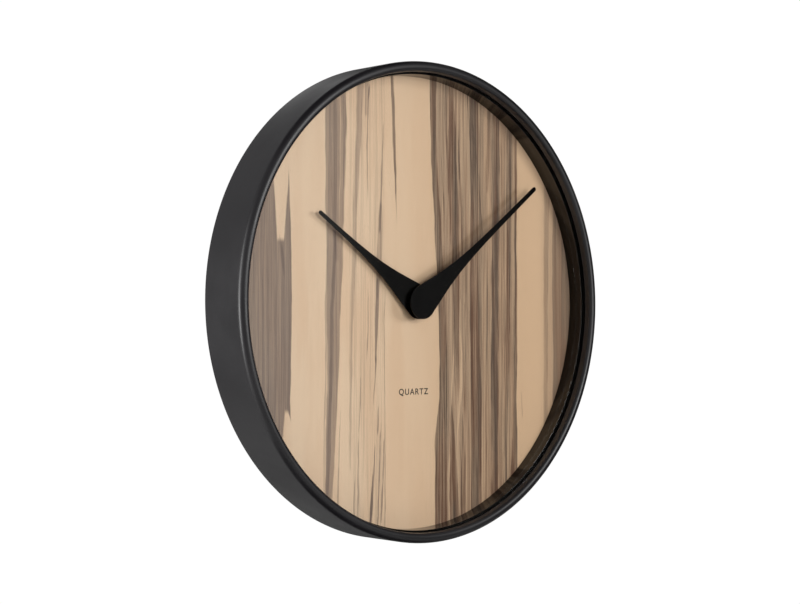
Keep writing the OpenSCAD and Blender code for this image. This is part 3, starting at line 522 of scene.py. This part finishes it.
def veneer():
    """Striped walnut veneer: pale sapwood with hand-placed heartwood streaks, fine grain and a painted soft
    shadow of the rim along the right edge.
    """
    made, tree, output = new_material("striped_veneer")
    where = node(tree, "ShaderNodeTexCoord").outputs["Object"]
    split = node(tree, "ShaderNodeSeparateXYZ", {0: where})
    x = maths(tree, "MULTIPLY", split.outputs["X"], 1 / MM)
    z = maths(tree, "MULTIPLY", split.outputs["Z"], 1 / MM)

    slow_waver = noise(tree, (0.035, 0.1, 0.018), 1.0)
    quick_waver = noise(tree, (0.45, 0.1, 0.05), 3.0)
    sway = maths(tree, "MULTIPLY", maths(tree, "SUBTRACT", slow_waver, 0.5), 3.0)
    shiver = maths(tree, "MULTIPLY", maths(tree, "SUBTRACT", quick_waver, 0.5), 2.4)
    grain_x = maths(tree, "ADD", x, maths(tree, "ADD", sway, shiver))

    # Left edge of the broad heartwood: leans right from the top, then steps back near the foot
    lean = maths(tree, "MULTIPLY_ADD", smooth(tree, z, -60.0, 190.0), -11.5, 26.6)
    edge_x = maths(tree, "MULTIPLY_ADD", smooth(tree, z, -78.0, -124.0), -5.8, lean)
    past_edge = maths(tree, "SUBTRACT", grain_x, edge_x)
    entry = smooth(tree, past_edge, -0.2, 1.0)
    right_end = smooth(tree, maths(tree, "SUBTRACT", HEARTWOOD_RIGHT, grain_x), -0.3, 0.8)
    within = maths(tree, "MULTIPLY", entry, right_end)
    # Dark first band of the heartwood, wider towards the foot
    first_end = maths(tree, "MULTIPLY_ADD", smooth(tree, z, -60.0, 170.0), -13.0, 36.5)
    first = smooth(tree, maths(tree, "SUBTRACT", first_end, grain_x), -0.8, 1.2)
    first_dark = maths(tree, "MULTIPLY", maths(tree, "MULTIPLY", entry, first), 0.74)
    ground = maths(tree, "MULTIPLY", within, 0.41)
    dark = maths(tree, "MAXIMUM", first_dark, ground)

    group = streak_group()
    panel = streaks_of(tree, group, grain_x, z, LEFT_PANEL, dark, widest=True)
    dark = streaks_of(tree, group, grain_x, z, HEARTWOOD + LEFT_SHADES + LEFT_BANDS + RIGHT_BANDS_AND_RIM_SHADOW, panel)

    # Fine lines along the grain, strongest in dark wood and in the striped zone left of the middle
    striped = maths(tree, "MULTIPLY", smooth(tree, grain_x, -78.0, -68.0),
                    smooth(tree, grain_x, -33.0, -36.0))
    lines = smooth(tree, noise(tree, (0.8, 0.1, 0.010), 4.0, 0.65), 0.34, 0.66, -0.5, 0.5)
    hair = noise(tree, (3.0, 0.1, 0.03), 3.0, 0.6)
    threads = smooth(tree, hair, 0.32, 0.68, -0.5, 0.5)
    zone = maths(tree, "MULTIPLY_ADD", striped, 0.34, 0.055)
    calm = maths(tree, "MULTIPLY", smooth(tree, grain_x, 124.0, 150.0, 1.0, 0.35),
                 smooth(tree, grain_x, 6.0, 18.0, 0.42, 1.0))
    swing = maths(tree, "MULTIPLY", maths(tree, "MULTIPLY_ADD", dark, 0.46, zone), calm)
    bands = smooth(tree, noise(tree, (0.30, 0.1, 0.006), 3.0, 0.6), 0.36, 0.64, -0.5, 0.5)
    dark = maths(tree, "MULTIPLY_ADD", striped, 0.05, dark)
    dark = maths(tree, "MULTIPLY_ADD", bands, maths(tree, "MULTIPLY", swing, 0.6), dark, clamp=True)
    dark = maths(tree, "MULTIPLY_ADD", lines, swing, dark, clamp=True)
    dark = maths(tree, "MULTIPLY_ADD", threads, maths(tree, "MULTIPLY", swing, 0.7), dark, clamp=True)
    # The eye sees even steps of darkness where the light falls off ever faster
    depth = maths(tree, "SUBTRACT", 1.0, maths(tree, "POWER", maths(tree, "SUBTRACT", 1.0, dark), 1.4))

    warm = noise(tree, (0.05, 0.1, 0.008), 3.0)
    pale = mixed(tree, smooth(tree, warm, 0.35, 0.65), srgb(228, 198, 169), srgb(223, 190, 160))
    pale = mixed(tree, smooth(tree, grain_x, -100.0, 130.0), pale, srgb(205, 170, 137))
    green = noise(tree, (0.16, 0.1, 0.01), 3.0)
    deep = mixed(tree, smooth(tree, green, 0.38, 0.62), srgb(84, 66, 55), srgb(96, 66, 50))
    deep = mixed(tree, smooth(tree, grain_x, -60.0, 10.0), srgb(90, 74, 72), deep)
    tone = mixed(tree, depth, pale, deep)
    pores = noise(tree, (4.5, 0.1, 0.22), 2.0, 0.5)
    tone = mixed(tree, smooth(tree, pores, 0.64, 0.74, 0.0, 0.30), tone, srgb(104, 80, 64))
    height = maths(tree, "MULTIPLY_ADD", pores, -0.6, hair)
    gloss = smooth(tree, hair, 0.2, 0.8, 0.55, 0.68)
    surface(tree, output, {"Specular IOR Level": 0.12},
            {"Base Color": tone, "Roughness": gloss, "Normal": bumped(tree, height, 0.02)})
    return made


def glass():
    """Flat mineral glass: lamps pass straight through and its two faces mirror a little."""
    made, tree, output = new_material("mineral_glass")
    clear = node(tree, "ShaderNodeBsdfTransparent", {"Color": (0.985, 0.995, 0.99, 1)})
    smear = noise(tree, (0.03, 0.1, 0.03), 4.0, 0.6)
    sheen = smooth(tree, smear, 0.3, 0.8, 0.015, 0.05)
    mirror = node(tree, "ShaderNodeBsdfGlossy", {"Color": (1, 1, 1, 1), "Roughness": sheen})
    # Schlick's rise of the mirror share towards grazing views, the same on both faces
    facing = node(tree, "ShaderNodeLayerWeight", {"Blend": 0.5}).outputs["Facing"]
    share = maths(tree, "MULTIPLY_ADD", maths(tree, "POWER", facing, 5.0), 0.96, 0.04)
    mix = node(tree, "ShaderNodeMixShader", {0: share, 1: clear.outputs[0], 2: mirror.outputs[0]})
    tree.links.new(mix.outputs[0], output.inputs["Surface"])
    return made


def copper_wire():
    """Enamelled wire wound side by side round the bobbin."""
    made, tree, output = new_material("enamelled_copper")
    turns = node(tree, "ShaderNodeTexWave", {"Vector": stretched(tree, (1, 1, 1)), "Scale": 2.2,
                                             "Distortion": 0.4, "Detail": 1.0}, bands_direction="X")
    tone = mixed(tree, turns.outputs["Fac"], srgb(120, 52, 24), srgb(214, 122, 70))
    surface(tree, output, {"Metallic": 0.9, "Roughness": 0.3},
            {"Base Color": tone, "Normal": bumped(tree, turns.outputs["Fac"], 0.05)})
    return made


def cell_jacket(bounds):
    """Printed foil jacket of the cell: a dark body, a copper shoulder and bare metal ends."""
    low, high = bounds[0].x, bounds[1].x
    made, tree, output = new_material("cell_jacket")
    where = node(tree, "ShaderNodeTexCoord").outputs["Object"]
    along = node(tree, "ShaderNodeMapRange", {0: node(tree, "ShaderNodeSeparateXYZ", {0: where}).outputs["X"],
                                              1: low, 2: high}).outputs[0]
    ramp = node(tree, "ShaderNodeValToRGB", {0: along})
    ramp.color_ramp.interpolation = "CONSTANT"
    bands = [(0.0, srgb(196, 198, 200)), (0.012, srgb(26, 46, 40)), (0.62, srgb(206, 168, 96)),
             (0.655, srgb(176, 98, 56)), (0.945, srgb(206, 208, 210))]
    points = ramp.color_ramp.elements
    points[0].position, points[0].color = bands[0]
    points[1].position, points[1].color = bands[1]
    for position, colour in bands[2:]:
        points.new(position).color = colour
    scuff = noise(tree, (0.6, 1.6, 1.6), 4.0, 0.65)
    tone = mixed(tree, smooth(tree, scuff, 0.58, 0.75, 0.0, 0.25), ramp.outputs[0], srgb(220, 222, 224))
    gloss = smooth(tree, scuff, 0.3, 0.7, 0.22, 0.36)
    surface(tree, output, {"Metallic": 0.75},
            {"Base Color": tone, "Roughness": gloss, "Normal": bumped(tree, scuff, 0.01)})
    return made


def circuit_laminate():
    """Brown lacquered paper board with traces that show as slightly raised, darker lines."""
    made, tree, output = new_material("circuit_laminate")
    cells = node(tree, "ShaderNodeTexBrick", {"Vector": stretched(tree, (1, 1, 1)), "Scale": 0.5,
                                              "Mortar Size": 0.06, "Mortar": (1, 1, 1, 1),
                                              "Color1": (0, 0, 0, 1), "Color2": (0, 0, 0, 1)})
    tone = mixed(tree, cells.outputs["Color"], srgb(158, 124, 78), srgb(112, 78, 42))
    weave = noise(tree, (3, 3, 3), 2.0)
    gloss = smooth(tree, weave, 0.2, 0.8, 0.28, 0.42)
    surface(tree, output, {}, {"Base Color": tone, "Roughness": gloss,
                               "Normal": bumped(tree, cells.outputs["Color"], 0.03)})
    return made


# ---- Materials by slot ----

MATERIALS = {
    "case_black": moulded("satin_case_black", srgb(21, 19, 22), srgb(26, 24, 27), 0.39, 0.5, 0.010),
    "rehaut_black": moulded("gloss_ring_black", srgb(9, 8, 7), srgb(12, 11, 10), 0.17, 1.4, 0.002, 0.1),
    # Dark rubber made paler than its own colour: partly painted light that lifts the shaded groove under the
    # lip
    "gasket_black": moulded("gasket_rubber", srgb(46, 43, 42), srgb(60, 56, 54), 0.7, 0.4, 0.02, 0.1),
    "lens": glass(),
    "veneer": veneer(),
    "dial_mdf": fibreboard("dial_fibreboard", srgb(150, 118, 84), srgb(186, 152, 112), 0.8, 0.04),
    "back_board": fibreboard("black_faced_board", srgb(56, 53, 50), srgb(70, 66, 62), 1.4, 0.06, 0.6),
    "zinc_steel": metal("zinc_steel", srgb(150, 152, 156), srgb(196, 198, 202), 0.34, (0.4, 2.5, 6.0)),
    "brass": metal("turned_brass", srgb(176, 132, 62), srgb(224, 184, 108), 0.28, (3.0, 3.0, 3.0)),
    "hand_black": moulded("hand_lacquer_black", srgb(5, 3, 3), srgb(7, 5, 5), 0.34, 0.25, 0.004,
                          0.4, 0.12),
    "movement_black": moulded("movement_black_abs", srgb(26, 26, 28), srgb(34, 34, 36), 0.52, 0.35,
                              0.025, 0.5),
    "white_nylon": moulded("white_nylon", srgb(214, 212, 202), srgb(232, 230, 222), 0.42, 0.5, 0.006, 0.1),
    "electrical_steel": metal("electrical_steel", srgb(118, 120, 124), srgb(160, 162, 168), 0.4,
                              (0.5, 3.0, 5.0)),
    "coil_wire": copper_wire(),
    "circuit_laminate": circuit_laminate(),
    "epoxy": moulded("black_epoxy", srgb(12, 12, 12), srgb(20, 20, 20), 0.25, 1.0, 0.01, 0.1),
    "rotor_ferrite": moulded("bonded_ferrite", srgb(44, 42, 42), srgb(60, 58, 58), 0.5, 0.2, 0.02, 0.4),
    "cell_jacket": cell_jacket(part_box("battery_cell")),
}


# ---- New pieces for what shows most ----

def bezel():
    """Rolled bead, lip over the glass and skirt inside the drum."""
    skirt_foot = SEAM_H - 7
    corners = [
        (CASE_R, SEAM_H, 0.12), (CASE_R, CASE_DEPTH, BEAD_OUTER_R - 0.2),
        (BEAD_IN_R, CASE_DEPTH, BEAD_INNER_R - 0.05), (BEAD_IN_R, LIP_H, 0.2),
        (GLASS_R + 0.2, LIP_H, 0.0), (GLASS_R + 0.2, skirt_foot, 0.15),
        (DRUM_IN_R, skirt_foot, 0.3), (DRUM_IN_R, SEAM_H, 0.0),
    ]
    return lathe("bezel_bead", corners, steps=20)


def drum():
    """Moulded drum with a rounded wall edge, a rim that rests on the wall and an inner shelf."""
    rim_in_r, shelf_in_r, shelf_back = CASE_R - 14, CASE_R - 24, BOARD_BACK - 2.5
    corners = [
        (rim_in_r, 0, 0.3), (CASE_R, 0, 0.8), (CASE_R, SEAM_H, 0.12), (DRUM_IN_R, SEAM_H, 0.3),
        (DRUM_IN_R, BOARD_BACK, 0.0), (shelf_in_r, BOARD_BACK, 0.3), (shelf_in_r, shelf_back, 0.3),
        (DRUM_IN_R, shelf_back, 0.0), (DRUM_IN_R, COVER_BACK, 0.0), (rim_in_r, COVER_BACK, 0.2),
    ]
    return lathe("drum_shell", corners)


def inner_ring():
    """Glossy ring between the dial and the glass."""
    foot_r, wall_r = GLASS_R - 1, REHAUT_R + REHAUT_T
    corners = [
        (REHAUT_R, DIAL_FRONT, 0.15), (foot_r, DIAL_FRONT, 0.2), (foot_r, DIAL_FRONT + REHAUT_FLANGE, 0.2),
        (wall_r, DIAL_FRONT + REHAUT_FLANGE, 0.4), (wall_r, GLASS_BACK - REHAUT_FLANGE, 0.4),
        (GLASS_R, GLASS_BACK - REHAUT_FLANGE, 0.2), (GLASS_R, GLASS_BACK, 0.2),
        (REHAUT_R, GLASS_BACK, 0.3),
    ]
    return lathe("inner_ring", corners)


def disc(name, outer_r, inner_r, low, high, edge):
    """Flat round sheet with eased edges; inner_r 0 has no hole."""
    if inner_r:
        corners = [(inner_r, low, edge), (outer_r, low, edge), (outer_r, high, edge), (inner_r, high, edge)]
    else:
        corners = [(0, low, 0), (outer_r, low, edge), (outer_r, high, edge), (0, high, 0)]
    return lathe(name, corners)


HandShape = namedtuple("HandShape", "length tip taper swell reach power rest")
MINUTE = HandShape(171, 1.9, 0.006, 11.2, 39.5, 1.35, 52.7)
HOUR = HandShape(129, 1.5, 0.005, 11.9, 40.8, 1.5, 303.6)
BOSS_R = 14.3


def half_width(hand, l):
    """Half width of a hand at the distance l along it: round boss, swollen blade, round tip."""
    boss = math.sqrt(max(0.0, BOSS_R ** 2 - l ** 2))
    if l < 5:
        return boss
    tip_at = hand.length - hand.tip
    if l > tip_at:
        return math.sqrt(max(0.0, hand.tip ** 2 - (l - tip_at) ** 2))
    blade = hand.tip + hand.taper * (hand.length - l) + hand.swell * math.exp(-(l / hand.reach) ** hand.power)
    return max(boss, blade)


def hand_outline(hand):
    """Outline of a hand at its rest angle, as (x, z) points in mm."""
    tip_at = hand.length - hand.tip
    boss = [-BOSS_R * math.cos(math.pi / 2 * i / 24) for i in range(1, 25)]
    blade = [tip_at * (i / 90) ** 1.25 for i in range(1, 91)]
    tip = [tip_at + hand.tip * math.sin(math.pi / 2 * i / 8) for i in range(1, 8)]
    right = [(half_width(hand, l), l) for l in boss + blade + tip]
    left = [(-w, l) for w, l in reversed(right)]
    turn = math.radians(hand.rest)
    outline = []
    for w, l in [(0.0, -BOSS_R)] + right + [(0.0, hand.length)] + left:
        outline.append((w * math.cos(turn) + l * math.sin(turn), l * math.cos(turn) - w * math.sin(turn)))
    return outline


def hand(name, shape, cad_node, bore_r=0.0):
    """Pressed hand with rounded edges, painted on every side."""
    return plate(name, hand_outline(shape), back_of(cad_node), front_of(cad_node), 0.35, bore_r)


def dial_print():
    """The generic word on the dial, as a thin layer of ink."""
    word = bpy.data.curves.new("dial_print", "FONT")
    word.body = "QUARTZ"
    word.align_x, word.align_y = "CENTER", "CENTER"
    word.size = 7.3 * MM
    word.space_character = 1.2
    word.extrude = 0.02 * MM
    word.offset = 0.1 * MM
    shaped = bpy.data.objects.new("word_source", word)
    bpy.context.scene.collection.objects.link(shaped)
    bpy.context.view_layer.update()
    flat = bpy.data.meshes.new_from_object(shaped.evaluated_get(bpy.context.evaluated_depsgraph_get()))
    bpy.data.objects.remove(shaped)
    flat.transform(Matrix.Rotation(math.radians(90), 4, "X"))
    flat.transform(Matrix.Translation(Vector((-3, -(DIAL_FRONT + 0.02), -75.5)) * MM))
    made = bpy.data.objects.new("dial_print", flat)
    bpy.context.scene.collection.objects.link(made)
    return made


place(bezel(), "case", "case_black", MATERIALS["case_black"], "bezel_ring")
place(drum(), "case", "case_black", MATERIALS["case_black"], "case_drum")
place(inner_ring(), "case", "rehaut_black", MATERIALS["rehaut_black"], "rehaut_ring")
place(disc("gasket_seal", GLASS_R, BEAD_IN_R, GLASS_FRONT, LIP_H, 0.12), "case", "gasket_black",
      MATERIALS["gasket_black"], "lens_gasket")
place(disc("front_glass", GLASS_R, 0, GLASS_BACK, GLASS_FRONT, 0.25), "case", "lens",
      MATERIALS["lens"], "lens_glass")
dial_face = place(disc("dial_face", DIAL_R, 4.25, DIAL_BACK, DIAL_FRONT, 0.08), "case", "veneer",
                  MATERIALS["veneer"], "dial_veneer")
minute_blade = place(hand("minute_blade", MINUTE, "minute_hand"), "minute_work", "hand_black",
                     MATERIALS["hand_black"], "minute_hand")
hour_blade = place(hand("hour_blade", HOUR, "hour_hand", radius_of("hour_pipe")), "hour_work",
                   "hand_black", MATERIALS["hand_black"], "hour_hand")
ink = moulded("printing_ink", srgb(16, 10, 8), srgb(24, 16, 12), 0.6, 0.3, 0.002, 0.0)
place(dial_print(), "case", "hand_black", ink)


# ---- Carried-over CAD nodes ----

SLOT_OF = {part["node"]: part["material_slot"] for part in frame["record"]["subparts"]}
EDGES = {"movement_cover": 0.3, "movement_base": 0.3, "back_cover": 0.3, "hanger_plate": 0.25,
         "battery_cell": 0.5, "setting_knob": 0.15, "mounting_nut": 0.2, "hanger_screws": 0.08,
         "back_cover_screws": 0.12}
for name, piece in frame["nodes"].items():
    if piece.hide_render:
        continue
    piece.data.materials.clear()
    piece.data.materials.append(MATERIALS[SLOT_OF[name]])
    soften(piece, EDGES.get(name, 0.05), 2)


# ---- Stage, light and camera ----

def stage_floor():
    """Pale round floor well below the clock, with a rounded rim."""
    floor = lathe("studio_floor", [(0, 0, 0), (4000, 0, 20), (4000, 60, 20), (0, 60, 0)], segments=96)
    floor.data.transform(Matrix.Rotation(math.radians(-90), 4, "X"))
    floor.location = (0, 0, -1.3)
    made, tree, output = new_material("pale_floor")
    cloud = noise(tree, (0.004, 0.004, 0.004), 3.0)
    tone = mixed(tree, cloud, srgb(236, 236, 234), srgb(242, 242, 241))
    surface(tree, output, {"Roughness": 0.6}, {"Base Color": tone})
    floor.data.materials.append(made)


def flag(name, radius, start, end, low, high, soft):
    """Black cloth round the clock between two angles right of the front, with one soft edge.
    It darkens what the glass and the bead mirror, and no camera sees it. Sizes in mm."""
    bm = bmesh.new()
    steps = 24
    pairs = []
    for i in range(steps + 1):
        a = math.radians(start + (end - start) * i / steps)
        x, y = radius * MM * math.sin(a), -radius * MM * math.cos(a)
        pairs.append((bm.verts.new((x, y, low * MM)), bm.verts.new((x, y, high * MM))))
    for (a, b), (c, d) in zip(pairs, pairs[1:]):
        bm.faces.new((a, c, d, b))
    cloth = finish_mesh(name, bm)
    made, tree, output = new_material(name + "_cloth")
    where = node(tree, "ShaderNodeTexCoord").outputs["Object"]
    split = node(tree, "ShaderNodeSeparateXYZ", {0: where})
    angle = maths(tree, "ARCTAN2", split.outputs["X"], maths(tree, "MULTIPLY", split.outputs["Y"], -1.0))
    first = math.radians(start)
    cover = smooth(tree, angle, first, first + math.radians(soft))
    black = node(tree, "ShaderNodeBsdfDiffuse", {"Color": (0.002, 0.002, 0.002, 1)})
    open_weave = node(tree, "ShaderNodeBsdfTransparent")
    mix = node(tree, "ShaderNodeMixShader", {0: cover, 1: open_weave.outputs[0], 2: black.outputs[0]})
    tree.links.new(mix.outputs[0], output.inputs["Surface"])
    cloth.data.materials.append(made)
    cloth.visible_camera = False


def flat_flag(name, radius, height):
    """Round black card above or below the clock, which no camera sees. Sizes in mm."""
    card = lathe(name, [(0, 0, 0), (radius, 0, 2), (radius, 10, 2), (0, 10, 0)], segments=64)
    card.data.transform(Matrix.Rotation(math.radians(-90), 4, "X"))
    card.location = (0, 0, height * MM)
    made, tree, output = new_material(name + "_card")
    black = node(tree, "ShaderNodeBsdfDiffuse", {"Color": (0.004, 0.004, 0.004, 1)})
    tree.links.new(black.outputs[0], output.inputs["Surface"])
    card.data.materials.append(made)
    card.visible_camera = False


def softbox(name, towards, distance, width, height, power):
    """Rectangular lamp in a direction from the clock, aimed at it."""
    lamp = bpy.data.lights.new(name, "AREA")
    lamp.shape = "RECTANGLE"
    lamp.size, lamp.size_y = width, height
    lamp.energy = power
    made = bpy.data.objects.new(name, lamp)
    bpy.context.scene.collection.objects.link(made)
    direction = Vector(towards).normalized()
    made.location = direction * distance
    made.rotation_euler = (-direction).to_track_quat("-Z", "Y").to_euler()
    made.visible_camera = False
    return made


def light_only(lamp, lit, shading):
    """Limits a lamp to the pieces it lights and the pieces that cast its shadow."""
    lamp.light_linking.receiver_collection = bpy.data.collections.new(lamp.name + "_lit")
    lamp.light_linking.blocker_collection = bpy.data.collections.new(lamp.name + "_shading")
    for piece in lit:
        lamp.light_linking.receiver_collection.objects.link(piece)
    for piece in shading:
        lamp.light_linking.blocker_collection.objects.link(piece)


def studio_world():
    """White behind the clock as the camera sees it, and greyer towards the room."""
    world = bpy.data.worlds.new("studio")
    bpy.context.scene.world = world
    world.use_nodes = True
    tree = world.node_tree
    tree.nodes.clear()
    where = node(tree, "ShaderNodeTexCoord").outputs["Generated"]
    facing = node(tree, "ShaderNodeVectorMath", {0: where, 1: (0.66, 0.75, 0.02)}, operation="DOT_PRODUCT")
    level = smooth(tree, facing.outputs["Value"], 0.70, 0.95, 0.38, 1.02)
    shade = node(tree, "ShaderNodeBackground", {"Color": (1, 1, 1, 1), "Strength": level})
    output = node(tree, "ShaderNodeOutputWorld")
    tree.links.new(shade.outputs[0], output.inputs["Surface"])


def camera():
    """The main view: from the left of the dial, level with its middle."""
    lens = bpy.data.cameras.new("camera")
    lens.lens, lens.sensor_width = 74.25, 36
    lens.clip_start, lens.clip_end = 0.05, 50
    made = bpy.data.objects.new("camera", lens)
    bpy.context.scene.collection.objects.link(made)
    forward = Vector((0.66341, 0.74806, 0.01760))
    made.location = (-0.9327, -1.0537, -0.0243)
    made.rotation_euler = forward.to_track_quat("-Z", "Y").to_euler()
    bpy.context.scene.camera = made


stage_floor()
flag("right_flag", 2900, 32, 147, -1280, 2500, 8)
flat_flag("upper_flag", 750, 950)
flat_flag("lower_flag", 750, -950)
softbox("left_softbox", (-0.98, 0.18, 0.0), 2.2, 0.7, 1.3, 38)
softbox("front_softbox", (0.29, -0.96, 0.24), 2.4, 0.85, 1.3, 32)
key = softbox("key_softbox", (0.85, -0.50, 0.145), 2.4, 0.6, 0.6, 28)
light_only(key, [dial_face], [minute_blade, hour_blade])
studio_world()
camera()
bpy.context.scene.view_settings.view_transform = "Standard"
